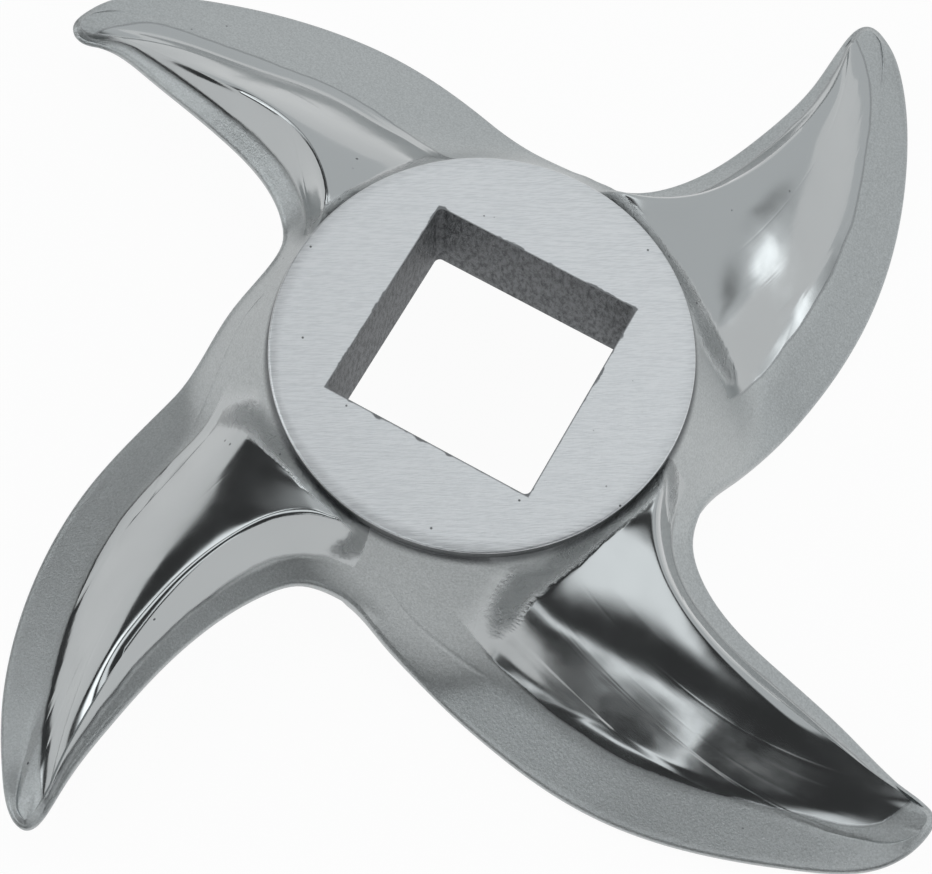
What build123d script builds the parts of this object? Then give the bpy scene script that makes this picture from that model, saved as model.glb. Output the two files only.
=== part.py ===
# Meat grinder knife: one stainless casting with four sickle arms round a square-bored hub.
# The origin is on the axis, in the plane of the grinder plate that the cutting edges run on.
import os
from math import cos, radians, sin

from build123d import *

os.makedirs("parts", exist_ok=True)

# Hub and drive square
HUB_DIAMETER = 32.7
HUB_HEIGHT = 13.9
HUB_UNDERSIDE = 4.7  # the hub clears the plate, only the arms touch it
HUB_RIM_HEIGHT = 1.0
HUB_RIM_CHAMFER = 0.25
NECK_WALL = 4.2  # how far the cast flank spreads below the rim
NECK_LAND = 1.2
ROOT_BURY = 0.9  # the arm roots start this far inside the flank
DRIVE_SQUARE = 17.46
DRIVE_CORNER_RADIUS = 0.5

# Plan of the arm that points along +Y, with its hollow back to -X and its cutting edge to +X.
# Each outline point is its share of the way from the neck to the tip radius, and its angle from +X.
ARM_COUNT = 4
TIP_RADIUS = 49.25
TIP_ANGLE = 75.0
HOLLOW_SHARES = (0.127, 0.392, 0.675, 0.904)
HOLLOW_ANGLES = (76.1, 73.6, 74.2, 75.4)
EDGE_SHARES = (0.105, 0.457, 0.843, 0.970)
EDGE_ANGLES = (18.1, 41.9, 62.3, 70.4)
BACK_ROOT_ANGLE = 92.9
EDGE_ROOT_ANGLE = -8.7
STATION_SHARES = (0, 0.14, 0.34, 0.56, 0.77, 0.91, 0.98)  # from root to nose, along both outlines

# Underside: the hollow back is pitched up, the cutting edge runs on the plate
LIP_HEIGHT = 6.2
LIP_THICKNESS = 0.6
LIP_ROOT_DROP = 0.9
LIP_ROOT_SPAN = 5.5
NOSE_RISE = 3.8
NOSE_START_SHARE = 0.5
NOSE_CURL_EXPONENT = 2.2
ROOT_RISE = 5.0
ROOT_START = 12.0
ROOT_LENGTH = 15.0
EDGE_LAND = 0.8
CONTACT_LAND = 2.6
GRIND_ALLOWANCE = 0.3  # stock that is ground off the contact lands

# Top of the arm, across its full width and scaled down where it is narrower
FULL_WIDTH = 20.0
SHELF_EXPONENT = 0.75
STEP_EXPONENT = 0.6
BAND_EXPONENT = 0.25
SHELF_WIDTH = 1.9
SHELF_SHARE = 0.22  # how much of the way from lip to ridge the shelf climbs
STEP_WIDTH = 1.7
CREST_ROUND = 0.8
CREST_SLOPE = -0.14
RIDGE_HEIGHT = 13.5
RIDGE_TIP_HEIGHT = 5.6
RIDGE_EXPONENT = 1.15
RIDGE_DIP = 2.0  # the ridge dives into the hub at its root
BAND_WIDTH = 4.7  # satin bevel behind the cutting edge
BAND_RISE = 2.3
BAND_TIP_CUT = 1.2
BAND_TIP_SPAN = 6.0
SHOULDER_WIDTH = 2.0
SHOULDER_SHARE = 0.3
CROWN_EXPONENT = 1.6
CROWN_FULL_SHARE = 0.37
CROWN_LEAD_SHARE = 0.125
LEAST_ROOM = 0.3

rim_radius = HUB_DIAMETER / 2
neck_radius = rim_radius + NECK_WALL
root_radius = neck_radius - ROOT_BURY
ridge_start = rim_radius + ROOT_BURY


def polar(radius, angle):
    """Point of the plan at a radius and an angle from +X."""
    return Vector(radius * cos(radians(angle)), radius * sin(radians(angle)))


def plan_points(shares, angles):
    """Outline points between the neck and the tip radius."""
    reach = TIP_RADIUS - neck_radius
    return [polar(neck_radius + share * reach, angle) for share, angle in zip(shares, angles)]


nose = polar(TIP_RADIUS, TIP_ANGLE)
back_root = polar(root_radius, BACK_ROOT_ANGLE)
edge_root = polar(root_radius, EDGE_ROOT_ANGLE)
hollow_points = plan_points(HOLLOW_SHARES, HOLLOW_ANGLES)
edge_points = plan_points(EDGE_SHARES, EDGE_ANGLES)
back_line = Spline(back_root, *hollow_points, nose, tangents=((1, 0.1), (1, 0.3)))
edge_line = Spline(edge_root, *edge_points, nose, tangents=((0.1, 1), (-1, 0.3)))


def ease(value):
    """Smooth step from 0 to 1."""
    value = max(0, min(1, value))
    return value * value * (3 - 2 * value)


def lip_height(point):
    """Underside of the hollow back, which comes down at the nose and at the root."""
    toe_start = hollow_points[1].Y
    toe = ease((point.Y - toe_start) / (nose.Y - toe_start))
    root = ease((LIP_ROOT_SPAN - point.X) / (LIP_ROOT_SPAN - back_root.X))
    return LIP_HEIGHT + (NOSE_RISE - LIP_HEIGHT) * toe - LIP_ROOT_DROP * root


def land_height(point):
    """Underside of the cutting edge, which lifts off the plate at the nose and at the root."""
    toe_start = NOSE_START_SHARE * nose.Y
    toe = max(0, (point.Y - toe_start) / (nose.Y - toe_start)) ** NOSE_CURL_EXPONENT
    return NOSE_RISE * toe + ROOT_RISE * ease((ROOT_START - point.Y) / ROOT_LENGTH)


def ridge_height(point, station):
    """Top of the ridge that runs out along the arm from the hub."""
    reach = max(0, point.length - ridge_start) / (TIP_RADIUS - ridge_start)
    dip = RIDGE_DIP * ease(1 - station / STATION_SHARES[1])
    return RIDGE_HEIGHT + (RIDGE_TIP_HEIGHT - RIDGE_HEIGHT) * reach**RIDGE_EXPONENT - dip


def arm_section(station):
    """Closed profile of the arm between its two outlines at one station."""
    back = back_line @ station
    edge = edge_line @ station
    chord = edge - back
    slim = min(1, chord.length / FULL_WIDTH)

    # Widths across the section, squeezed together where the nose leaves too little room
    shelf = SHELF_WIDTH * slim**SHELF_EXPONENT
    step = STEP_WIDTH * slim**STEP_EXPONENT
    band = BAND_WIDTH * slim**BAND_EXPONENT
    band -= BAND_TIP_CUT * slim * ease((edge.Y - hollow_points[2].Y) / BAND_TIP_SPAN)
    shoulder = SHOULDER_WIDTH * slim
    room = max(LEAST_ROOM * slim, chord.length - shelf - step - shoulder - band)
    squeeze = chord.length / (shelf + step + room + shoulder + band)
    crest_x = (shelf + step) * squeeze
    start_x = crest_x + room * squeeze
    border_x = chord.length - band * squeeze

    # Heights over the plate
    lip = lip_height(back)
    lip_top = lip + LIP_THICKNESS
    land = land_height(edge)
    edge_top = land + EDGE_LAND
    ridge = ridge_height(back + chord * (crest_x / chord.length), station)
    border = min(edge_top + BAND_RISE * band / BAND_WIDTH, ridge - LEAST_ROOM)
    drop = (1 - SHOULDER_SHARE) * (ridge - border)

    foot = Vector(shelf * squeeze, lip_top + SHELF_SHARE * (ridge - lip_top))
    corner = Vector(crest_x, ridge)
    start = Vector(start_x, ridge - drop)
    rise = (corner - foot).normalized()
    crest_in = corner - rise * min(CREST_ROUND * slim, room / 3)
    crown = start_x - crest_x
    lead_in = corner + Vector(1, CREST_SLOPE) * (CROWN_LEAD_SHARE * crown)
    lead_out = start - Vector(1, -CROWN_EXPONENT * drop / crown) * (CROWN_FULL_SHARE * crown)

    plane = Plane(origin=(back.X, back.Y, 0), x_dir=(chord.X, chord.Y, 0), z_dir=(chord.Y, -chord.X, 0))
    with BuildSketch(plane) as section:
        with BuildLine():
            Polyline(
                start,
                (border_x, border),
                (chord.length, edge_top),
                (chord.length, land - GRIND_ALLOWANCE),
                (chord.length - CONTACT_LAND * slim, land - GRIND_ALLOWANCE),
                (0, lip),
                (0, lip_top),
                foot,
                crest_in,
            )
            Bezier(crest_in, lead_in, lead_out, start)
        make_face()
    return section.sketch


sections = [arm_section(station) for station in STATION_SHARES]

with BuildPart() as knife:
    # Hub with its drafted cast flank and the raised, faced rim
    with BuildSketch(Plane.XZ):
        with BuildLine():
            Polyline(
                (0, HUB_UNDERSIDE),
                (neck_radius, HUB_UNDERSIDE),
                (neck_radius, HUB_UNDERSIDE + NECK_LAND),
                (rim_radius, HUB_HEIGHT - HUB_RIM_HEIGHT),
                (rim_radius, HUB_HEIGHT - HUB_RIM_CHAMFER),
                (rim_radius - HUB_RIM_CHAMFER, HUB_HEIGHT),
                (0, HUB_HEIGHT),
                close=True,
            )
        make_face()
    revolve(axis=Axis.Z)

    # Four sickle arms, each pitched so that only its cutting edge reaches the plate
    arm = loft(sections, mode=Mode.PRIVATE)
    with PolarLocations(0, ARM_COUNT):
        add(arm)

    # Drive square right through the hub
    with BuildSketch(Plane.XY.offset(HUB_HEIGHT)):
        RectangleRounded(DRIVE_SQUARE, DRIVE_SQUARE, DRIVE_CORNER_RADIUS)
    extrude(amount=-HUB_HEIGHT, mode=Mode.SUBTRACT)

    # Contact lands ground flat on the plate plane
    split(bisect_by=Plane.XY, keep=Keep.TOP)

knife.part.label = "knife"
export_step(knife.part, "parts/knife.step")
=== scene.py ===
import math

import bpy
import numpy as np
from mathutils import Matrix, Quaternion, Vector


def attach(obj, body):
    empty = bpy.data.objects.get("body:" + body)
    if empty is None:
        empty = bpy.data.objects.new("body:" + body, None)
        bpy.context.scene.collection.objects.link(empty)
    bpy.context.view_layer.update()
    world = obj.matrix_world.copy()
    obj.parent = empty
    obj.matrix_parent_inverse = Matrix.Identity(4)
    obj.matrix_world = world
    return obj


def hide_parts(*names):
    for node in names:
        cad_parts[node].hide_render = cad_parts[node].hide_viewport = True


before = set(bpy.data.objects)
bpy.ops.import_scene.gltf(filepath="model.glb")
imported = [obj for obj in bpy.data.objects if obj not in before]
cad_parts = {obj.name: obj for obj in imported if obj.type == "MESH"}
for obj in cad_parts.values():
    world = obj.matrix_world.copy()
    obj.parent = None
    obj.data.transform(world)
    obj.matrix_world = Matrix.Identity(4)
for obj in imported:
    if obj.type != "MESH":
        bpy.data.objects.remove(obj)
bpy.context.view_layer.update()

# A cast and hand-ground meat grinder knife. One closed mesh, built as heights over its plan, takes
# the place of the CAD's knife; its top, face, bore and underside each have their own steel finish,
# with painted shade in the bore and round the rim.
MM = 0.001

# ---------------------------------------------------------------- sizes, in millimetres
HUB_HEIGHT = 13.9
HUB_UNDERSIDE = 4.7
RIM_RADIUS = 16.35
RIM_HEIGHT = 1.0
RIM_ROUND = 0.22
NECK_WALL = 4.2
NECK_LAND = 1.2
NECK_ANGLE = 88.5
DRIVE_SQUARE = 17.46
DRIVE_CORNER = 0.5
ARM_COUNT = 4
TIP_RADIUS = 49.0
TIP_ANGLE = 75.0
BELLY_REACH = 25.05
BELLY_STATION = 22.5

# Section of an arm at its full width; the powers say how fast each part narrows with the arm
FULL_WIDTH = 20.0
LEAST_WIDTH = 0.3
LEAST_SLIM = 0.05
LIP_HEIGHT = 6.2
LIP_THICKNESS = 0.6
LIP_ROOT_DROP = 0.9
NOSE_RISE = 3.8
ROOT_RISE = 5.0
EDGE_LAND = 0.8
CONTACT_LAND = 2.6
LEAST_HOLLOW = 0.2
EDGE_ROUND = 0.3
EDGE_TANGENT = 0.8
SHELF_WIDTH = 1.9
SHELF_POWER = 0.75
SHELF_SHARE = 0.22
STEP_WIDTH = 1.7
STEP_POWER = 0.6
STEP_ROUND = 0.4
RIDGE_ROOT_HEIGHT = 13.5
RIDGE_SLOPE = 0.21
RIDGE_CURVE = 0.0016
RIDGE_DIVE = 4.0
RIDGE_ROUND = 1.1
LEAST_RIDGE_ROUND = 0.8
CROWN_POWER = 1.5
CROWN_RUN_ON = 1.6
LEAST_ROOM = 0.4
SHOULDER_WIDTH = 3.2
SHOULDER_SHARE = 0.42
SHOULDER_ROUND = 1.0
BAND_WIDTH = 4.7
BAND_POWER = 0.25
BAND_RISE = 2.3
BAND_NOSE_CUT = 1.2
BAND_RUN_ON = 1.1
BORDER_ROUND = 0.8
BORDER_DROP = 0.3

# How the section fills out where the arm grows from the hub
ROOT_FULLNESS = 0.16
ROOT_POWER = -0.35
ROOT_LIFT = 1.0
ROOT_SPREAD = 0.3

# The nose: its outline is ground round and its top is domed
NOSE_REACH = 1.1
NOSE_ROUND = 1.3
NOSE_SATIN = 1.9
BEAD_PLACE = 2.2
BEAD_LENGTH = 2.0
DOME_HEIGHT = 2.0
DOME_EDGE = 1.3
DOME_LIFT = 1.5

# Where things begin or end, as (place, span): along the arm (Y), across it (X), by radius (R)
# or by the distance from the nose
ROUNDED_REACH = (13.5, 9.0)
DOME_REACH = (6.0, 4.8)
DRESSED_REACH = (15.3, 9.0)
LIP_TOE_Y = (30, 19)
LIP_ROOT_X = (5.5, 7)
LAND_TOE_Y = (24, 24)
LAND_CURL = 2.2
LAND_ROOT_Y = (12, 15)
NOSE_Y = 40
RIDGE_START_R = 18
RIDGE_DIVE_X = (-1.5, 4.5)
ROOT_R = (26, 8)
EXTRA_BAND_ROOT_R = (15, 6)
EXTRA_BAND_TOE_R = (47, 14)
BAND_NOSE_Y = (36, 8)
ARM_SECTOR = (-12, 96)
SECTOR_FADE = 10
OUTSIDE_SLOPE = 4
SECTOR_DROP = 12

# How arms, hub and rim run into each other, and where the fillets keep their cast skin
ARM_BLEND = 0.6
HUB_BLEND = 1.6
GROOVE_DEPTH = 0.15
GROOVE_SLOPE = 0.6
GROOVE_BLEND = 0.3
UNDERSIDE_BLEND = (2.5, 4)
FILLET_PLACE = -0.4
FILLET_WIDTH = 1.5
FILLET_REACH = (6.5, 4.5)
FILLET_BORDER = (-1.0, 2.5)
FOOT_REACH = (1.8, 1.6)
FOOT_START = (-2.5, 2)
FOOT_CAST = 0.8

neck_radius = RIM_RADIUS + NECK_WALL
rim_foot = HUB_HEIGHT - RIM_HEIGHT


# ---------------------------------------------------------------- small tools
def around(radius, degrees):
    """Point at a radius and an angle from +X."""
    return radius * np.array([math.cos(math.radians(degrees)), math.sin(math.radians(degrees))])


def spline(points, start, end, count):
    """Cubic through points with set end directions, sampled evenly by chord length."""
    p = np.array(points, float)
    u = np.r_[0, np.cumsum(np.linalg.norm(np.diff(p, axis=0), axis=1))]
    h = np.diff(u)
    n = len(p)
    a = np.zeros((n, n))
    b = np.zeros((n, 2))
    a[0, 0] = a[-1, -1] = 1
    b[0] = np.array(start) / np.linalg.norm(start)
    b[-1] = np.array(end) / np.linalg.norm(end)
    for i in range(1, n - 1):
        a[i, i - 1 : i + 2] = h[i], 2 * (h[i - 1] + h[i]), h[i - 1]
        b[i] = 3 * (h[i] * (p[i] - p[i - 1]) / h[i - 1] + h[i - 1] * (p[i + 1] - p[i]) / h[i])
    m = np.linalg.solve(a, b)
    t = np.linspace(0, u[-1], count)
    k = np.clip(np.searchsorted(u, t, side="right") - 1, 0, n - 2)
    s = ((t - u[k]) / h[k])[:, None]
    hk = h[k][:, None]
    first_half = (2 * s**3 - 3 * s**2 + 1) * p[k] + (s**3 - 2 * s**2 + s) * hk * m[k]
    return first_half + (3 * s**2 - 2 * s**3) * p[k + 1] + (s**3 - s**2) * hk * m[k + 1]


def lengths(line):
    """Length run at each point of a polyline."""
    return np.r_[0, np.cumsum(np.linalg.norm(np.diff(line, axis=0), axis=1))]


def along(line, distances):
    """Points of a polyline at the given distances from its start."""
    run = lengths(line)
    return np.c_[np.interp(distances, run, line[:, 0]), np.interp(distances, run, line[:, 1])]


def evenly(line, count):
    return along(line, np.linspace(0, lengths(line)[-1], count))


def unit(vectors):
    return vectors / np.linalg.norm(vectors, axis=1)[:, None]


def left_of(ahead):
    """Directions a quarter turn to the left of the given ones."""
    return np.c_[-ahead[:, 1], ahead[:, 0]]


def turn(xy, quarters):
    """Points turned counter-clockwise by quarters."""
    for _ in range(quarters % 4):
        xy = left_of(xy)
    return xy


def distance(xy, line):
    """Signed distance of each point from the line, positive on the right of its direction."""
    best = np.full(len(xy), 1e9)
    side = np.ones(len(xy))
    for start, stop in zip(line[:-1], line[1:]):
        d = stop - start
        v = xy - start
        t = np.clip((v @ d) / (d @ d), 0, 1)
        wx, wy = v[:, 0] - t * d[0], v[:, 1] - t * d[1]
        r = wx * wx + wy * wy
        closer = r < best
        best[closer] = r[closer]
        side[closer] = np.where(d[1] * v[closer, 0] - d[0] * v[closer, 1] >= 0, 1, -1)
    return np.sqrt(best) * side


def ease(x):
    x = np.clip(x, 0, 1)
    return x * x * (3 - 2 * x)


def rise(value, start, span):
    """0 up to the start, then smoothly up to 1 over the span."""
    return ease((value - start) / span)


def fall(value, end, span):
    """1, then smoothly down to 0 over the span before the end."""
    return ease((end - value) / span)


def bell(value, middle, width):
    return np.exp(-(((value - middle) / width) ** 2))


def soft_min(a, b, k):
    """The lesser of two heights, blended where they differ by less than k."""
    h = np.clip(0.5 + 0.5 * (b - a) / k, 0, 1)
    return b + (a - b) * h - k * h * (1 - h)


def soft_max(a, b, k):
    return -soft_min(-a, -b, k)


# ---------------------------------------------------------------- the arms
# Each arm points along +Y in its own frame. Its outline runs from the neck up the hollow back to
# the nose, and down the cutting edge to the next neck.
BACK_POINTS = ((3.5, 21.35), (5.8, 23.5), (9.0, 30.5), (10.9, 38.4), (11.7, 45.0))
EDGE_POINTS = ((16.2, 45.6), (20.8, 39.6), (BELLY_REACH, BELLY_STATION), (22.4, 7.3), (21.35, 3.4))
BACK_ENDS = ((1, 0.02), (1, 0.3))
EDGE_ENDS = ((1, -0.3), (-0.03, -1))
BACK_SAMPLES, EDGE_SAMPLES = 700, 1000
BACK_COUNT, EDGE_COUNT = 110, 170
NECK_STEPS = np.linspace(0.5, 24, 16)
OUTLINE_STEP = 0.06
RIM_STRIDE = 8


def pushed(points, ends, out):
    """Outline points moved outwards, to the left of the outline's run, by the given amounts."""
    run = np.array([ends[0], *points, ends[1]])
    outwards = left_of(unit(run[2:] - run[:-2]))
    return [tuple(p) for p in run[1:-1] + outwards * np.array(out)[:, None]]


class Arm:
    """One arm's outline and dressing.

    The amounts say, in millimetres, how hand grinding left it off the form that the arms share.
    """

    def __init__(
        self, back_out, edge_out, necks_out, nose_out, nose_aside=0.0, extra_band=0.0, bead=0.0
    ):
        self.extra_band = extra_band
        tip = around(TIP_RADIUS, TIP_ANGLE)
        self.corner = tip * (1 + (NOSE_REACH + nose_out) / TIP_RADIUS) - np.array([nose_aside, 0])
        self.neck_in = around(neck_radius + necks_out[0], NECK_ANGLE)
        self.neck_out = around(neck_radius + necks_out[1], NECK_ANGLE - 90)
        back_points = pushed(BACK_POINTS, (self.neck_in, self.corner), back_out)
        edge_points = pushed(EDGE_POINTS, (self.corner, self.neck_out), edge_out)
        back = spline([self.neck_in, *back_points, self.corner], *BACK_ENDS, BACK_SAMPLES)
        edge = spline([self.corner, *edge_points, self.neck_out], *EDGE_ENDS, EDGE_SAMPLES)
        before = [around(neck_radius + necks_out[0], NECK_ANGLE + d) for d in NECK_STEPS[::-1]]
        after = [around(neck_radius + necks_out[1], NECK_ANGLE - 90 - d) for d in NECK_STEPS]
        self.back_line = np.vstack([before, evenly(back, BACK_COUNT)])
        self.edge_line = np.vstack([evenly(edge, EDGE_COUNT), after])
        self.nose_run = lengths(back)[-1]
        self.outline = self.rounded(np.vstack([back[:-1], edge]), bead)

    def rounded(self, line, bead):
        """The outline with its nose ground round, and a bead of metal left at its hollow side."""
        run = np.arange(0, lengths(line)[-1], OUTLINE_STEP)
        even = along(line, run)
        reach = int(3 * NOSE_ROUND / OUTLINE_STEP)
        weights = np.exp(-0.5 * (np.arange(-reach, reach + 1) * OUTLINE_STEP / NOSE_ROUND) ** 2)
        weights /= weights.sum()
        padded = np.pad(even, ((reach, reach), (0, 0)), mode="edge")
        smooth = np.stack([np.convolve(part, weights, "valid") for part in padded.T], axis=1)
        share = fall(np.abs(run - self.nose_run), *ROUNDED_REACH)[:, None]
        even = even + (smooth - even) * share
        swell = bead * bell(run, self.nose_run - BEAD_PLACE, BEAD_LENGTH)
        even = even + left_of(unit(np.gradient(even, axis=0))) * swell[:, None]
        return np.vstack([line[:1], even[1:], line[-1:]])


# Neck 0 lies at the hollow side of arm 0, neck 1 at that of arm 1, and so on round
NECKS_OUT = (0.2, -1.3, 0.1, -0.2)
ARMS = (
    Arm(
        back_out=(0.2, 0.1, -0.4, -0.5, 0),
        edge_out=(0.2, 0, -0.1, 0.2, 0),
        necks_out=(NECKS_OUT[0], NECKS_OUT[3]),
        nose_out=-0.65,
    ),
    Arm(
        back_out=(-0.8, -0.4, 0.3, 0.2, 0),
        edge_out=(0.1, 0.3, 0.3, 0.3, 0.2),
        necks_out=(NECKS_OUT[1], NECKS_OUT[0]),
        nose_out=-1.0,
        nose_aside=0.5,
        extra_band=2.4,
        bead=0.5,
    ),
    Arm(
        back_out=(-0.1, 0, 0, 0.1, 0.3),
        edge_out=(-0.7, -0.9, -1.1, -1.0, -0.7),
        necks_out=(NECKS_OUT[2], NECKS_OUT[1]),
        nose_out=-0.6,
        nose_aside=0.7,
    ),
    Arm(
        back_out=(-0.3, -0.3, 0, 0.1, -0.3),
        edge_out=(0.6, 0.1, -0.2, 0.1, 0.2),
        necks_out=(NECKS_OUT[3], NECKS_OUT[2]),
        nose_out=-1.2,
    ),
)


# ---------------------------------------------------------------- surfaces over the plan
def lip_height(x, y):
    """Height of the lip's lower edge, which sinks towards the nose and at the root."""
    toe, root = rise(y, *LIP_TOE_Y), fall(x, *LIP_ROOT_X)
    return LIP_HEIGHT + (NOSE_RISE - LIP_HEIGHT) * toe - LIP_ROOT_DROP * root


def land_height(y):
    """Height of the cutting edge over the grinder plate: it leaves it at the root and the nose."""
    start, span = LAND_TOE_Y
    toe = np.clip((y - start) / span, 0, 1) ** LAND_CURL
    return NOSE_RISE * toe + ROOT_RISE * fall(y, *LAND_ROOT_Y)


def ridge_height(x, r):
    """Height of the ridge, which falls outwards and dives into the hub at its root."""
    out = r - RIDGE_START_R
    height = RIDGE_ROOT_HEIGHT - RIDGE_SLOPE * out - RIDGE_CURVE * out**2
    return height - RIDGE_DIVE * (1 - rise(x, *RIDGE_DIVE_X))


def inwards(xy, line):
    """Distance inwards from an outline line; past the nose it counts on both sides."""
    d = distance(xy, line)
    return np.where(xy[:, 1] > NOSE_Y, np.abs(d), d)


class Spots:
    """Points set against one arm: how far in they lie, and the arm's width and section there."""

    def __init__(self, xy, arm):
        self.x, self.y = x, y = xy[:, 0], xy[:, 1]
        self.r = np.hypot(x, y)
        self.from_back = inwards(xy, arm.back_line)
        self.from_edge = inwards(xy, arm.edge_line)
        self.width = np.maximum(self.from_back + self.from_edge, LEAST_WIDTH)
        self.slim = np.clip(self.width / FULL_WIDTH, LEAST_SLIM, 1)
        self.ridge = ridge_height(x, self.r)
        self.shelf = SHELF_WIDTH * self.slim**SHELF_POWER
        self.crest = self.shelf + STEP_WIDTH * self.slim**STEP_POWER
        extra = arm.extra_band * rise(self.r, *EXTRA_BAND_ROOT_R) * fall(self.r, *EXTRA_BAND_TOE_R)
        band = (BAND_WIDTH + extra) * self.slim**BAND_POWER
        self.band = band - BAND_NOSE_CUT * rise(y, *BAND_NOSE_Y) * self.slim


def hollow_side(spots):
    """Shelf behind the lip, and the step from it up to the ridge."""
    lip_top = lip_height(spots.x, spots.y) + LIP_THICKNESS
    foot = lip_top + SHELF_SHARE * (spots.ridge - lip_top)
    shelf = lip_top + (foot - lip_top) * spots.from_back / spots.shelf
    past_shelf = spots.from_back - spots.shelf
    step = foot + past_shelf * (spots.ridge - foot) / (spots.crest - spots.shelf)
    return soft_max(shelf, step, STEP_ROUND)


def edge_side(spots):
    """Crown, shoulder and satin bevel, from the ridge down to the cutting edge."""
    ridge, band = spots.ridge, spots.band
    root = fall(spots.r, *ROOT_R)
    top_edge = land_height(spots.y) + EDGE_LAND
    border = top_edge + BAND_RISE * band / BAND_WIDTH + ROOT_LIFT * root
    border = np.minimum(border, ridge - BORDER_DROP)
    shoulder_width = SHOULDER_WIDTH * spots.slim * (1 + ROOT_SPREAD * root)
    shoulder_top = border + (SHOULDER_SHARE + ROOT_FULLNESS * root) * (ridge - border)
    room = np.maximum(spots.width - spots.crest - band - shoulder_width, LEAST_ROOM)
    q = np.clip((spots.from_back - spots.crest) / room, 0, CROWN_RUN_ON)
    crown = ridge - (ridge - shoulder_top) * q ** (CROWN_POWER + ROOT_POWER * root)
    shoulder = border + (spots.from_edge - band) * (shoulder_top - border) / shoulder_width
    bevel = top_edge + (border - top_edge) * np.minimum(spots.from_edge / band, BAND_RUN_ON)
    return soft_max(soft_min(crown, shoulder, SHOULDER_ROUND), bevel, BORDER_ROUND)


def domed(z, xy, arm, to_nose):
    """Heights with the nose dressed to a low dome that rises from the rounded outline."""
    rim = np.abs(distance(xy, arm.outline[::RIM_STRIDE]))
    dome = land_height(xy[:, 1]) + EDGE_LAND + DOME_HEIGHT * (1 - np.exp(-rim / DOME_EDGE))
    return z + (np.minimum(dome, z + DOME_LIFT) - z) * fall(to_nose, *DOME_REACH)


def arm_top(xy, arm):
    """Upper surface of one arm, and how far each point is inside its polished crown."""
    spots = Spots(xy, arm)
    ridge_round = np.maximum(RIDGE_ROUND * spots.slim, LEAST_RIDGE_ROUND)
    z = soft_min(edge_side(spots), hollow_side(spots), ridge_round)
    to_nose = np.hypot(spots.x - arm.corner[0], spots.y - arm.corner[1])
    z = domed(z, xy, arm, to_nose)
    outside = np.minimum(spots.from_back, spots.from_edge)
    z = np.where(outside < 0, z + OUTSIDE_SLOPE * outside, z)
    angle = np.degrees(np.arctan2(spots.y, spots.x))
    z = z - SECTOR_DROP * (1 - rise(angle, ARM_SECTOR[0], SECTOR_FADE))
    z = z - SECTOR_DROP * rise(angle, ARM_SECTOR[1], SECTOR_FADE)
    inside = np.minimum(spots.from_back - spots.shelf, spots.from_edge - spots.band)
    return z, np.minimum(inside, to_nose - NOSE_SATIN)


def arm_underside(xy, arm):
    """Lower surface of one arm: a flat contact land, then a slope up to the lip."""
    x, y = xy[:, 0], xy[:, 1]
    d_back, d_edge = np.abs(distance(xy, arm.back_line)), np.abs(distance(xy, arm.edge_line))
    w = np.maximum(d_back + d_edge, LEAST_WIDTH)
    strip = CONTACT_LAND * np.clip(w / FULL_WIDTH, LEAST_SLIM, 1)
    lip, land = lip_height(x, y), land_height(y)
    up_slope = np.clip((d_edge - strip) / np.maximum(w - strip, LEAST_HOLLOW), 0, 1)
    return land + (lip - land) * up_slope


def hub_flank(past_rim):
    """Height of the hub's cast flank, by the distance outside the rim."""
    neck_top = HUB_UNDERSIDE + NECK_LAND
    return rim_foot - (rim_foot - neck_top) * past_rim / NECK_WALL


def upper_surface(xy, number):
    """Upper surface outside the rim in one arm's quarter, and its finish by three measures.

    They are how far a point is inside the polished crown, how far the arm stands above the hub and
    its neighbours there, and the share of rough cast skin.
    """
    past_rim = np.hypot(xy[:, 0], xy[:, 1]) - RIM_RADIUS
    own, inside = arm_top(xy, ARMS[number])
    ahead, _ = arm_top(turn(xy, 3), ARMS[(number + 1) % ARM_COUNT])
    behind, _ = arm_top(turn(xy, 1), ARMS[number - 1])
    beside = np.maximum(ahead, behind)
    hub = hub_flank(past_rim)
    z = soft_max(soft_max(own, beside, ARM_BLEND), hub, HUB_BLEND)
    groove = rim_foot - GROOVE_DEPTH + GROOVE_SLOPE * past_rim
    z = soft_min(z, groove, GROOVE_BLEND)
    above = own - np.maximum(hub, beside)
    fillet = bell(above, FILLET_PLACE, FILLET_WIDTH) * fall(past_rim, *FILLET_REACH)
    fillet = fillet * rise(inside, *FILLET_BORDER)
    foot = fall(past_rim, *FOOT_REACH) * rise(above, *FOOT_START)
    return z, inside, above, np.maximum(fillet, FOOT_CAST * foot)


def underside(xy, number):
    before_neck, span = UNDERSIDE_BLEND
    blend = rise(np.hypot(xy[:, 0], xy[:, 1]), neck_radius - before_neck, span)
    return HUB_UNDERSIDE + (arm_underside(xy, ARMS[number]) - HUB_UNDERSIDE) * blend


# ---------------------------------------------------------------- one closed mesh of the casting
# Columns run round the outline of each quarter; rows run from it inwards over the top and below
QUARTER = 224
ROWS_BAND = 32
ROWS_CROWN = 30
CROWN_CROWDING = 1.2
ROWS_UNDER = 14
UNDER_CROWDING = 1.5
RIM_STEPS = (0.35, 0.7, 1)
ROWS_RIM_ROUND = 3
ROWS_FACE = 8
ROWS_BORE = 8
NOSE_CROWDING = (3, 3.5)
DEPTH_AT_NOSE = 0.9
DEPTH_AT_NECK = 2.6
NECK_FADE = 9
BACK_DEPTH = (3.5, 14)
EDGE_DEPTH = (6.3, 18)
DEEP_SHARES = (0.19, 0.34)
LEAST_DEPTH = 0.8
DEPTH_BLEND = 0.5
RIM_SHARE = 0.38
GRID_BOW = 3.4
BOW_POWERS = (1.0, 6.0)
SWEEP = (0, 27, 44, 64, 90)
SWEEP_SMOOTH = 12
TANGENT_REACH = 0.4
EDGE_WALL = 0.5
DRESS_PASSES = 22
DRESS_SHARE = 0.12
DRESS_STRENGTH = 0.8
RIM_CAST = 0.6
SHARP_ANGLE = 42
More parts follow.
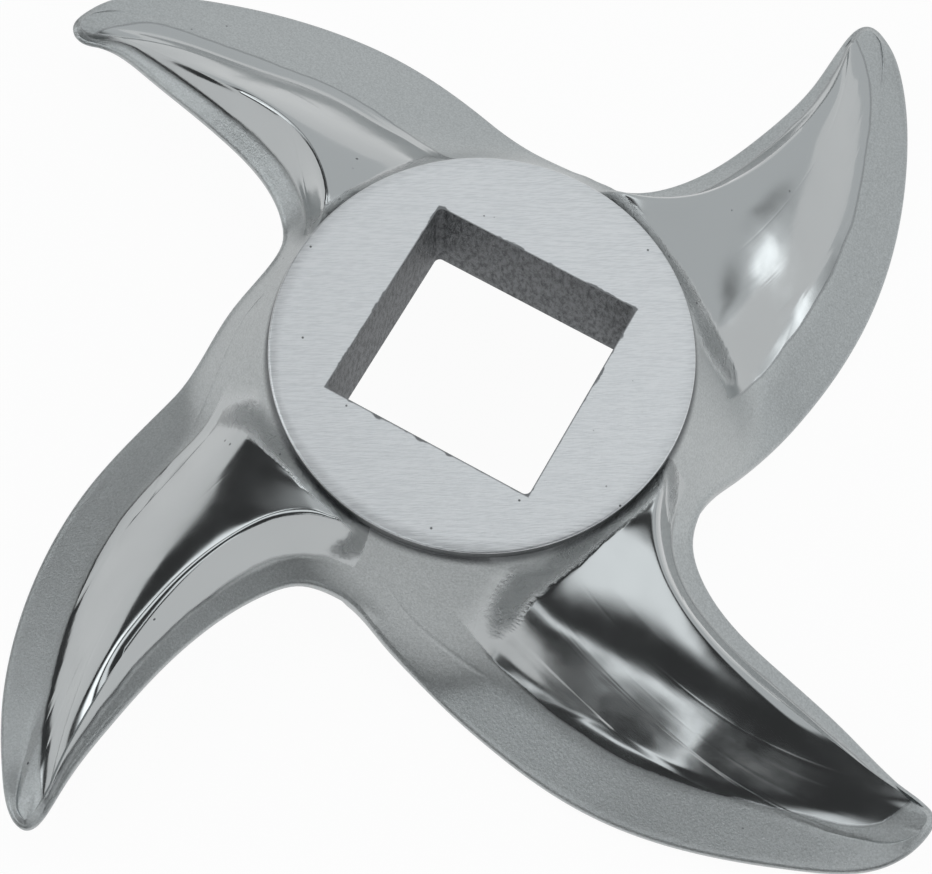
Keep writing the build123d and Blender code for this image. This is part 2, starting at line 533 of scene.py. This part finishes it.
NO_FINISH = (-5.0, 0.0, 0.0)
SKIN, FACE, BORE, UNDER = range(4)


def square_point(angle):
    """Where a ray from the axis leaves the rounded drive square."""
    c, s = math.cos(angle), math.sin(angle)
    half = DRIVE_SQUARE / 2
    r = half / max(abs(c), abs(s))
    inner = half - DRIVE_CORNER
    if abs(c * r) > inner and abs(s * r) > inner:
        b = c * math.copysign(inner, c) + s * math.copysign(inner, s)
        r = b + math.sqrt(b * b - 2 * inner * inner + DRIVE_CORNER**2)
    return c * r, s * r


def outline_columns(arm):
    """Lengths run along the outline at the columns, which crowd together at the nose."""
    run = lengths(arm.outline)
    extra, span = NOSE_CROWDING
    weight = 1 + extra * bell(run, arm.nose_run, span)
    mass = np.r_[0, np.cumsum(0.5 * (weight[1:] + weight[:-1]) * np.diff(run))]
    return np.interp(np.linspace(0, mass[-1], QUARTER + 1), mass, run)


def inward_directions(arm, at):
    """Level directions into the metal, square to the outline but radial at the necks."""
    last = lengths(arm.outline)[-1]
    forward = along(arm.outline, np.minimum(at + TANGENT_REACH, last))
    backward = along(arm.outline, np.maximum(at - TANGENT_REACH, 0))
    inward = -left_of(unit(forward - backward))
    inward[0] = -arm.neck_in / np.linalg.norm(arm.neck_in)
    inward[-1] = -arm.neck_out / np.linalg.norm(arm.neck_out)
    return inward


def band_depth(arm, at, out):
    """How far in from the outline the fine rows reach, by column."""
    before, after = arm.nose_run - at, at - arm.nose_run
    back = DEPTH_AT_NOSE + BACK_DEPTH[0] * ease(before / BACK_DEPTH[1])
    edge = DEPTH_AT_NOSE + EDGE_DEPTH[0] * ease(after / EDGE_DEPTH[1])
    depth = np.where(before > 0, back, edge)
    width = np.abs(distance(out, arm.back_line)) + np.abs(distance(out, arm.edge_line))
    share = np.where(before > 0, *DEEP_SHARES)
    depth = soft_min(depth, np.maximum(width * share, LEAST_DEPTH), DEPTH_BLEND)
    past_rim = np.linalg.norm(out, axis=1) - RIM_RADIUS
    depth = soft_min(depth, RIM_SHARE * past_rim, DEPTH_BLEND)
    neck_gap = np.minimum(at, at[-1] - at)
    return DEPTH_AT_NECK + (depth - DEPTH_AT_NECK) * ease(neck_gap / NECK_FADE)


def rim_angles(share, at_nose):
    """Angles at which the columns reach the rim, eased so that they fan out evenly."""
    places = [0, 0.5 * at_nose, at_nose, 0.5 * (1 + at_nose), 1]
    sweep = np.interp(share, places, SWEEP)
    window = 2 * SWEEP_SMOOTH + 1
    padded = np.pad(sweep, SWEEP_SMOOTH, mode="reflect", reflect_type="odd")
    sweep = np.convolve(padded, np.ones(window) / window, mode="valid")
    sweep[0], sweep[-1] = SWEEP[0], SWEEP[-1]
    return np.radians(NECK_ANGLE - sweep)


def quarter_layout(arm):
    """Plan of one quarter's grid by column.

    Gives the outline, its inward directions, the inner end of the fine rows, the rim, the bore and
    how far the columns bow out between them.
    """
    at = outline_columns(arm)
    out = along(arm.outline, at)
    inward = inward_directions(arm, at)
    deep = out + inward * band_depth(arm, at, out)[:, None]
    share, at_nose = at / at[-1], arm.nose_run / at[-1]
    phi = rim_angles(share, at_nose)
    rim = RIM_RADIUS * np.c_[np.cos(phi), np.sin(phi)]
    bore = np.array([square_point(angle) for angle in phi])
    back_bow = ease(share / at_nose) ** BOW_POWERS[0]
    edge_bow = ease((1 - share) / (1 - at_nose)) ** BOW_POWERS[1]
    bow = GRID_BOW * np.where(share < at_nose, back_bow, edge_bow)
    return out, inward, deep, rim, bore, np.c_[bow, bow * 0]


def bowed(start, stop, bow, share):
    """Grid points between two lines, bowed out at the middle so that columns follow the sickle."""
    return start + (stop - start) * share + bow * 4 * share * (1 - share)


def ground_smooth(z, places, corner):
    """Heights of a grid with the creases dressed off, most of all round the nose."""
    to_nose = np.hypot(places[..., 0] - corner[0], places[..., 1] - corner[1])
    share = DRESS_SHARE + (1 - DRESS_SHARE) * fall(to_nose, *DRESSED_REACH)
    share[:, :3] = share[:, -3:] = share[-3:] = 0
    for _ in range(DRESS_PASSES):
        wide = np.pad(z, 1, mode="edge")
        level = (wide[:-2, 1:-1] + wide[2:, 1:-1] + wide[1:-1, :-2] + wide[1:-1, 2:]) / 4
        z = z + (level - z) * share * DRESS_STRENGTH
    return z


def quarter_rings(number):
    """The rings of grid points in one quarter, as (plan points, heights, finish measures, zone).

    They run from the bore's lower edge out below, round the outline, in over the top and down
    the bore.
    """
    out, inward, deep, rim, bore, bow = quarter_layout(ARMS[number])
    rings = []

    def ring(xy, z, zone=SKIN, finish=NO_FINISH):
        n = len(xy)
        rings.append((xy, np.broadcast_to(z, n), [np.broadcast_to(f, n) for f in finish], zone))

    inset = out + inward * EDGE_ROUND
    low = underside(inset, number)
    for f in np.linspace(0, 1, ROWS_UNDER, endpoint=False):
        xy = bowed(bore, inset, bow, 1 - (1 - f) ** UNDER_CROWDING)
        ring(xy, underside(xy, number), UNDER)
    ring(inset, low, UNDER)

    rows = [inset + (deep - inset) * (j / ROWS_BAND) for j in range(ROWS_BAND + 1)]
    for j in range(1, ROWS_CROWN + 1):
        rows.append(bowed(deep, rim, bow, 1 - (1 - j / ROWS_CROWN) ** CROWN_CROWDING))
    flat = np.vstack(rows)
    z, *finishes = (v.reshape(len(rows), -1) for v in upper_surface(flat, number))
    z = ground_smooth(z, flat.reshape(len(rows), -1, 2), ARMS[number].corner)
    z[0] = np.maximum(z[0], low + EDGE_WALL)

    corner = EDGE_ROUND * (1 - math.sqrt(0.5))
    ring(out + inward * corner, low + corner)
    ring(out, low + EDGE_ROUND * EDGE_TANGENT)
    ring(out, z[0] - EDGE_ROUND * EDGE_TANGENT)
    ring(out + inward * corner, z[0] - corner)
    for j, xy in enumerate(rows):
        ring(xy, z[j], SKIN, [finish[j] for finish in finishes])

    for f in RIM_STEPS:
        ring(rim, z[-1] + (HUB_HEIGHT - RIM_ROUND - z[-1]) * f, SKIN, (*NO_FINISH[:2], RIM_CAST))
    for angle in np.linspace(0, math.pi / 2, ROWS_RIM_ROUND + 1)[1:]:
        reach = RIM_RADIUS - RIM_ROUND * (1 - math.cos(angle))
        ring(rim * reach / RIM_RADIUS, HUB_HEIGHT - RIM_ROUND * (1 - math.sin(angle)), FACE)
    inner = rim * (RIM_RADIUS - RIM_ROUND) / RIM_RADIUS
    for f in np.linspace(0, 1, ROWS_FACE + 1)[1:]:
        ring(inner + (bore - inner) * f, HUB_HEIGHT, FACE)
    for f in np.linspace(0, 1, ROWS_BORE + 1)[1:-1]:
        ring(bore, HUB_HEIGHT + (HUB_UNDERSIDE - HUB_HEIGHT) * f, BORE)
    return rings


def casting_grid():
    """Points and finishes of the whole casting by ring and column, and the rings' zones."""
    quarters = [quarter_rings(number) for number in range(ARM_COUNT)]
    count = len(quarters[0])
    points = np.zeros((count, ARM_COUNT * QUARTER, 3))
    finishes = np.zeros((3, count, ARM_COUNT * QUARTER))
    for number, rings in enumerate(quarters):
        # columns run clockwise, so the quarters are stored clockwise too
        first = (-number) % ARM_COUNT * QUARTER
        cols = slice(first, first + QUARTER)
        for k, (xy, z, finish, _) in enumerate(rings):
            points[k, cols, :2] = turn(xy, number)[:-1]
            points[k, cols, 2] = z[:-1]
            finishes[:, k, cols] = np.array(finish)[:, :-1]
    return points, finishes, [zone for *_, zone in quarters[0]]


def build_casting():
    points, finishes, zones = casting_grid()
    count, columns = points.shape[:2]
    faces, zone_of = [], []
    for k in range(count):
        k2 = (k + 1) % count
        zone = BORE if k2 == 0 or BORE in (zones[k], zones[k2]) else min(zones[k], zones[k2])
        for c in range(columns):
            c2 = (c + 1) % columns
            faces.append((k * columns + c, k2 * columns + c, k2 * columns + c2, k * columns + c2))
            zone_of.append(zone)
    mesh = bpy.data.meshes.new("knife_casting")
    mesh.from_pydata((points.reshape(-1, 3) * MM).tolist(), [], faces)
    for name, values in zip(("polish", "clear", "cast"), finishes):
        mesh.attributes.new(name, "FLOAT", "POINT").data.foreach_set("value", values.reshape(-1))
    mesh.polygons.foreach_set("material_index", np.array(zone_of, dtype=np.int32))
    mesh.polygons.foreach_set("use_smooth", np.ones(len(faces), dtype=bool))
    mesh.set_sharp_from_angle(angle=math.radians(SHARP_ANGLE))
    mesh.update()
    knife = bpy.data.objects.new("knife_casting", mesh)
    bpy.context.scene.collection.objects.link(knife)
    return knife


# ---------------------------------------------------------------- materials
class Nodes:
    """A node tree under construction; its maths takes sockets and plain numbers alike."""

    def __init__(self, owner):
        owner.use_nodes = True
        self.tree = owner.node_tree

    def add(self, kind, **values):
        node = self.tree.nodes.new(kind)
        for key, value in values.items():
            setattr(node, key, value)
        return node

    def feed(self, socket, value):
        if hasattr(value, "is_output"):
            self.tree.links.new(value, socket)
        else:
            socket.default_value = value

    def math(self, operation, *values):
        node = self.add("ShaderNodeMath", operation=operation)
        for socket, value in zip(node.inputs, values):
            self.feed(socket, value)
        return node.outputs[0]

    def span(self, value, low, high, to_low=0.0, to_high=1.0, smooth=True):
        """Maps low..high onto to_low..to_high, with soft or straight ends."""
        kind = "SMOOTHSTEP" if smooth else "LINEAR"
        node = self.add("ShaderNodeMapRange", interpolation_type=kind)
        for socket, number in zip(node.inputs, (value, low, high, to_low, to_high)):
            self.feed(socket, number)
        return node.outputs[0]

    def mix(self, share, first, second):
        """Number between first and second."""
        node = self.add("ShaderNodeMix", data_type="FLOAT")
        self.feed(node.inputs["Factor"], share)
        self.feed(node.inputs["A"], first)
        self.feed(node.inputs["B"], second)
        return node.outputs["Result"]

    def tint(self, share, first, second):
        """Colour between first and second."""
        node = self.add("ShaderNodeMix", data_type="RGBA")
        self.feed(node.inputs[0], share)
        for socket, colour in zip(node.inputs[6:8], (first, second)):
            self.feed(socket, colour if hasattr(colour, "is_output") else (*colour, 1))
        return node.outputs[2]

    def mask(self, name):
        return self.add("ShaderNodeAttribute", attribute_name=name).outputs["Fac"]

    def place(self, stretch=(1, 1, 1), turned=0.0):
        """Object coordinates in millimetres, turned about Z and stretched."""
        node = self.add("ShaderNodeMapping", vector_type="TEXTURE")
        self.feed(node.inputs["Vector"], self.add("ShaderNodeTexCoord").outputs["Object"])
        node.inputs["Rotation"].default_value = (0, 0, math.radians(turned))
        node.inputs["Scale"].default_value = [MM * s for s in stretch]
        return node.outputs["Vector"]

    def noise(self, where, scale, detail=2.0, rough=0.5):
        node = self.add("ShaderNodeTexNoise")
        self.feed(node.inputs["Vector"], where)
        node.inputs["Scale"].default_value = scale
        node.inputs["Detail"].default_value = detail
        node.inputs["Roughness"].default_value = rough
        return node.outputs["Fac"]

    def specks(self, where, scale, radius, seed=0.0):
        """1 inside small round pits scattered over the metal, 0 between them."""
        node = self.add("ShaderNodeTexVoronoi", feature="F1")
        shifted = self.add("ShaderNodeVectorMath", operation="ADD")
        self.feed(shifted.inputs[0], where)
        shifted.inputs[1].default_value = (seed, seed, seed)
        self.feed(node.inputs["Vector"], shifted.outputs[0])
        node.inputs["Scale"].default_value = scale
        return self.span(node.outputs["Distance"], radius * 0.5, radius, 1.0, 0.0)

    def relief(self, height, depth, under=None):
        """Normal of a relief whose heights 0..1 span the depth in millimetres."""
        node = self.add("ShaderNodeBump")
        node.inputs["Distance"].default_value = depth * MM
        self.feed(node.inputs["Height"], height)
        if under is not None:
            self.feed(node.inputs["Normal"], under)
        return node.outputs["Normal"]


def steel(name, colour, roughness, normal):
    """Bare stainless steel, from functions that build its colour, roughness and normal."""
    material = bpy.data.materials.new(name)
    m = Nodes(material)
    bsdf = m.tree.nodes["Principled BSDF"]
    bsdf.inputs["Metallic"].default_value = 1.0
    for socket, make in (("Base Color", colour), ("Roughness", roughness), ("Normal", normal)):
        m.feed(bsdf.inputs[socket], make(m))
    return material


BRIGHT_STEEL = (0.43, 0.45, 0.455)
SATIN_STEEL = (0.51, 0.535, 0.54)
SATIN_SHADE = 0.78
CAST_STEEL = (0.36, 0.38, 0.385)
GROUND_STEEL = (0.70, 0.72, 0.735)
GROUND_DARK = (0.56, 0.58, 0.595)
# The bore walls are coloured near black: painted shade inside the hole, with paler speckle of its
# grain
SHADED_BORE_DARK = (0.05, 0.055, 0.06)
SHADED_BORE_PALE = (0.24, 0.25, 0.26)
UNDER_DARK = (0.46, 0.475, 0.48)
UNDER_PALE = (0.56, 0.575, 0.58)
# Dark of the pits; it also colours the dark border line, and the painted shade in the recess round
# the rim and at the bore's edge
DARK_PIT_AND_SHADE = (0.10, 0.105, 0.11)

MIRROR_ROUGHNESS = (0.1, 0.18)
SATIN_ROUGHNESS = (0.38, 0.5)
CAST_ROUGHNESS = 0.34
FACE_ROUGHNESS = (0.32, 0.45)
BORE_ROUGHNESS = (0.45, 0.65)
UNDER_ROUGHNESS = (0.36, 0.5)

# Depths of the reliefs, in millimetres
WAVE_DEPTH = 0.07
GRAIN_DEPTH = 0.03
CAST_DEPTH = 0.5
LINE_DEPTH = 0.02
BORE_DEPTH = 0.25
UNDER_DEPTH = 0.05
MIRROR_GRAIN = 0.02

# Spans over which one finish gives way to another, in millimetres
BORDER_WANDER = 0.5
BORDER_FADE = (-0.12, 0.15)
BORDER_LINE = 0.4
BORDER_LINE_WIDTH = 0.16
BORDER_LINE_CLEAR = (-1.5, 0.5)
POLISH_FADE = (RIM_RADIUS + 0.2, RIM_RADIUS + 1.3)
POLISH_CLEAR = (-3.2, -1.0)
RECESS = (RIM_RADIUS + 0.1, RIM_RADIUS + 0.55)
RECESS_SHADE = 0.8
SQUARE_EDGE = (0.02, 0.14)
SQUARE_SHADE = 0.85
NICK_DEPTH = 0.2

GRIND_DIRECTION = 28.0
CROSS_DIRECTION = GRIND_DIRECTION + 7
LONG_LINES = (4.0, 0.16, 1)
SHORT_LINES = (1.1, 0.11, 1)
# so long a stretch up and down that heights come to nothing
FLATTENED = (1, 1, 1e6)

# Where the blotches of the cast skin and the patches with pits begin and are full
BLOTCH_LIFT = 0.45
BLOTCHES = (0.25, 0.95)
PIT_PATCHES = (0.58, 0.68)


def from_border(m):
    """Millimetres inside the polished crown; its border wanders as a hand polished one does."""
    wander = m.math("SUBTRACT", m.noise(m.place(), scale=0.25, detail=3), 0.5)
    return m.math("ADD", m.mask("polish"), m.math("MULTIPLY", wander, BORDER_WANDER))


def from_axis(m):
    """Millimetres from the axis, whatever the height."""
    radius = m.add("ShaderNodeVectorMath", operation="LENGTH")
    m.feed(radius.inputs[0], m.place(FLATTENED))
    return radius.outputs["Value"]


def polished(m):
    """Share of the mirror finish, sharp along the border and fading out towards the hub."""
    border = m.span(from_border(m), *BORDER_FADE)
    past_rim = m.span(from_axis(m), *POLISH_FADE)
    fade = m.math("MULTIPLY", past_rim, m.span(m.mask("clear"), *POLISH_CLEAR))
    return m.math("MULTIPLY", border, fade)


def as_cast(m):
    """Share of rough casting skin, blotchy in the fillets round the hub."""
    blotches = m.noise(m.place(), scale=0.45, detail=4, rough=0.65)
    lifted = m.math("ADD", blotches, BLOTCH_LIFT)
    return m.span(m.math("MULTIPLY", m.mask("cast"), lifted), *BLOTCHES)


def skin_colour(m):
    """Satin and bright steel with a dark line between them, cast skin, painted recess shade and
    pits.
    """
    grain = m.span(m.noise(m.place(), scale=6.0, detail=3, rough=0.7), 0.3, 0.7)
    satin = m.tint(grain, [c * SATIN_SHADE for c in SATIN_STEEL], SATIN_STEEL)
    bright = m.tint(polished(m), satin, BRIGHT_STEEL)
    off_border = m.math("ABSOLUTE", from_border(m))
    line = m.span(off_border, 0.0, BORDER_LINE_WIDTH, BORDER_LINE, 0.0)
    line = m.math("MULTIPLY", line, m.span(m.mask("clear"), *BORDER_LINE_CLEAR))
    rough = m.tint(as_cast(m), m.tint(line, bright, DARK_PIT_AND_SHADE), CAST_STEEL)
    # Painted shade darkens the hub's rim wall and the groove at its foot, out to about half a
    # millimetre past the rim
    rough = m.tint(m.span(from_axis(m), *RECESS, RECESS_SHADE, 0.0), rough, DARK_PIT_AND_SHADE)
    patches = m.span(m.noise(m.place(), scale=0.3, detail=2), *PIT_PATCHES)
    pitted = m.math("MAXIMUM", as_cast(m), patches)
    pits = m.math("MULTIPLY", m.specks(m.place(), scale=0.62, radius=0.09), pitted)
    return m.tint(pits, rough, DARK_PIT_AND_SHADE)


def skin_roughness(m):
    grain = m.noise(m.place(), scale=2.2, detail=4, rough=0.6)
    satin = m.span(grain, 0.2, 0.8, *SATIN_ROUGHNESS, smooth=False)
    mirror = m.span(m.noise(m.place(), scale=0.25, detail=4), 0.3, 0.7, *MIRROR_ROUGHNESS)
    return m.mix(as_cast(m), m.mix(polished(m), satin, mirror), CAST_ROUGHNESS)


def skin_normal(m):
    """Long waves of hand polishing, the fine grain of the satin and the lumps of the cast skin."""
    smooth = m.relief(m.noise(m.place(), scale=0.16, detail=2), WAVE_DEPTH)
    grain = m.noise(m.place(), scale=5.0, detail=3, rough=0.7)
    satin = m.math("MULTIPLY", grain, m.mix(polished(m), 1.0, MIRROR_GRAIN))
    fine = m.relief(satin, GRAIN_DEPTH, under=smooth)
    cast = m.math("MULTIPLY", m.noise(m.place(), scale=1.7, detail=5, rough=0.75), as_cast(m))
    return m.relief(cast, CAST_DEPTH, under=fine)


def ground_lines(m):
    """Fine lines that the surface grinder left across the hub face."""
    long_lines = m.noise(m.place(LONG_LINES, GRIND_DIRECTION), scale=1.0, detail=3, rough=0.6)
    short_lines = m.noise(m.place(SHORT_LINES, CROSS_DIRECTION), scale=1.0, detail=2, rough=0.6)
    return m.mix(0.5, long_lines, short_lines)


def from_square(m):
    """Millimetres outside the drive square, with the nicks of its broached edge."""
    parts = m.add("ShaderNodeSeparateXYZ")
    m.feed(parts.inputs[0], m.place())
    sides = [m.math("ABSOLUTE", part) for part in parts.outputs[:2]]
    outside = m.math("SUBTRACT", m.math("MAXIMUM", *sides), DRIVE_SQUARE / 2)
    nicks = m.span(m.noise(m.place(), scale=0.7, detail=2), 0.5, 0.75)
    return m.math("SUBTRACT", outside, m.math("MULTIPLY", nicks, NICK_DEPTH))


def face_colour(m):
    ground = m.tint(m.span(ground_lines(m), 0.38, 0.6), GROUND_DARK, GROUND_STEEL)
    pitted = m.tint(m.specks(m.place(), scale=0.5, radius=0.06, seed=3.0), ground, DARK_PIT_AND_SHADE)
    # Painted shade: a thin dark band on the face round the bore's edge, reaching further out where
    # the nicks bite in
    return m.tint(m.span(from_square(m), *SQUARE_EDGE, SQUARE_SHADE, 0.0), pitted, DARK_PIT_AND_SHADE)


def face_roughness(m):
    return m.span(ground_lines(m), 0.35, 0.65, *FACE_ROUGHNESS, smooth=False)


def face_normal(m):
    return m.relief(ground_lines(m), LINE_DEPTH)


def bore_grain(m):
    return m.noise(m.place((1, 1, 2.5)), scale=2.4, detail=5, rough=0.75)


# Painted shade darkens the bore walls, with the grain as paler speckle
def bore_colour(m):
    return m.tint(m.span(bore_grain(m), 0.35, 0.62), SHADED_BORE_DARK, SHADED_BORE_PALE)


def bore_roughness(m):
    return m.span(bore_grain(m), 0.3, 0.7, *BORE_ROUGHNESS, smooth=False)


def bore_normal(m):
    return m.relief(bore_grain(m), BORE_DEPTH)


def under_colour(m):
    return m.tint(m.noise(m.place(), scale=1.2, detail=4, rough=0.7), UNDER_DARK, UNDER_PALE)


def under_roughness(m):
    grain = m.noise(m.place(), scale=2.0, detail=4)
    return m.span(grain, 0.3, 0.7, *UNDER_ROUGHNESS, smooth=False)


def under_normal(m):
    return m.relief(m.noise(m.place(), scale=3.0, detail=4, rough=0.7), UNDER_DEPTH)


# ---------------------------------------------------------------- floor and camera
FLOOR_COLOUR = (0.9, 0.9, 0.9, 1)
FLOOR_ROUGHNESS = 0.9
FLOOR_GLOW = 0.95
FLOOR_HALF = 30.0
FLOOR_GAP = 0.02
CAMERA_PLACE = (22.72, -51.35, 147.97)
CAMERA_TURN = (-0.347934, 0.059594, 0.511488)
CAMERA_LENS = 73.53
CAMERA_SENSOR = 36


def seen_directly(m):
    """1 where the eye, or a mirror or glass in front of it, looks straight at the surface."""
    path = m.add("ShaderNodeLightPath").outputs
    share = m.math("ADD", path["Is Camera Ray"], path["Is Glossy Ray"])
    share = m.math("ADD", share, path["Is Transmission Ray"])
    return m.math("MINIMUM", share, 1.0)


def floor_material():
    """Pale floor that shows as white where it is looked at, and still takes a faint shadow."""
    material = bpy.data.materials.new("floor_white")
    m = Nodes(material)
    bsdf = m.tree.nodes["Principled BSDF"]
    bsdf.inputs["Base Color"].default_value = FLOOR_COLOUR
    bsdf.inputs["Roughness"].default_value = FLOOR_ROUGHNESS
    blend = m.add("ShaderNodeMixShader")
    m.feed(blend.inputs["Fac"], m.math("MULTIPLY", seen_directly(m), FLOOR_GLOW))
    m.feed(blend.inputs[1], bsdf.outputs[0])
    m.feed(blend.inputs[2], m.add("ShaderNodeEmission").outputs[0])
    m.feed(m.tree.nodes["Material Output"].inputs["Surface"], blend.outputs[0])
    return material


def floor():
    signs = ((-1, -1), (1, -1), (1, 1), (-1, 1))
    corners = [(x * FLOOR_HALF, y * FLOOR_HALF, 0) for x, y in signs]
    mesh = bpy.data.meshes.new("floor")
    mesh.from_pydata(corners, [], [(0, 1, 2, 3)])
    mesh.materials.append(floor_material())
    obj = bpy.data.objects.new("floor", mesh)
    obj.location.z = -FLOOR_GAP * MM
    bpy.context.scene.collection.objects.link(obj)


def camera():
    """Camera of the photo: its place in millimetres, its turn as a rotation vector, its lens."""
    turned = Vector(CAMERA_TURN)
    rows = Quaternion(turned.normalized(), turned.length).to_matrix()
    right = Vector((rows[0][0], -rows[0][1], -rows[0][2]))
    up = -Vector((rows[1][0], -rows[1][1], -rows[1][2]))
    behind = -Vector((rows[2][0], -rows[2][1], -rows[2][2]))
    data = bpy.data.cameras.new("camera")
    data.lens = CAMERA_LENS
    data.sensor_width = CAMERA_SENSOR
    obj = bpy.data.objects.new("camera", data)
    place = Matrix((right, up, behind)).transposed().to_4x4()
    place.translation = Vector(CAMERA_PLACE) * MM
    obj.matrix_world = place
    bpy.context.scene.collection.objects.link(obj)
    bpy.context.scene.camera = obj


# ---------------------------------------------------------------- light
class Panel:
    """Soft-edged panel of the studio, with its place and half sides in level direction parts."""

    def __init__(self, x, y, half_x, half_y, level, soft):
        self.place, self.half, self.level, self.soft = (x, y), (half_x, half_y), level, soft


ROOM_SIDE, ROOM_BACK = 0.35, 0.94
ROOM_EDGE = (0.0, 0.35)
DARK_ROOM, PALE_ROOM = 0.06, 0.82
ROOM_COLOUR = (0.97, 0.99, 1.0, 1)
PANELS = (
    Panel(-0.12, 0.28, 0.22, 0.14, level=1.5, soft=0.08),
    Panel(-0.66, 0.02, 0.18, 0.16, level=1.7, soft=0.04),
    Panel(0.04, -0.966, 0.2, 0.012, level=1.6, soft=0.008),
    Panel(-0.04, -0.46, 0.26, 0.25, level=1.45, soft=0.08),
    Panel(-0.72, -0.34, 0.16, 0.16, level=2.4, soft=0.05),
    Panel(0.8, -0.6, 0.05, 0.3, level=1.5, soft=0.03),
    Panel(0.8, 0.5, 0.03, 0.05, level=0.3, soft=0.03),
    Panel(0.9, 0.38, 0.025, 0.06, level=2.4, soft=0.02),
)


def panel_share(m, panel, parts):
    """1 in the directions that the panel fills, 0 outside it."""
    share = 1.0
    for part, place, half in zip(parts, panel.place, panel.half):
        off = m.math("ABSOLUTE", m.math("SUBTRACT", part, place))
        inside = m.span(off, half - panel.soft, half + panel.soft, 1.0, 0.0)
        share = m.math("MULTIPLY", share, inside)
    return share


def studio():
    """A pale room behind and to the right, a dark one in front and to the left, and the panels."""
    world = bpy.data.worlds.new("studio")
    bpy.context.scene.world = world
    m = Nodes(world)
    parts = m.add("ShaderNodeSeparateXYZ")
    m.feed(parts.inputs[0], m.add("ShaderNodeTexCoord").outputs["Generated"])
    x, y = parts.outputs[:2]
    along_room = m.math("ADD", m.math("MULTIPLY", x, ROOM_SIDE), m.math("MULTIPLY", y, ROOM_BACK))
    level = m.mix(m.span(along_room, *ROOM_EDGE), DARK_ROOM, PALE_ROOM)
    for panel in PANELS:
        level = m.mix(panel_share(m, panel, (x, y)), level, panel.level)
    background = m.tree.nodes["Background"]
    background.inputs["Color"].default_value = ROOM_COLOUR
    m.feed(background.inputs["Strength"], level)


# ---------------------------------------------------------------- the scene
knife = build_casting()
# in the order of SKIN, FACE, BORE, UNDER
for material in (
    steel("steel_skin", skin_colour, skin_roughness, skin_normal),
    steel("steel_ground_face", face_colour, face_roughness, face_normal),
    steel("steel_bore", bore_colour, bore_roughness, bore_normal),
    steel("steel_underside", under_colour, under_roughness, under_normal),
):
    knife.data.materials.append(material)
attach(knife, "root")
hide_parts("knife")

bpy.context.scene.view_settings.view_transform = "Standard"
floor()
camera()
studio()
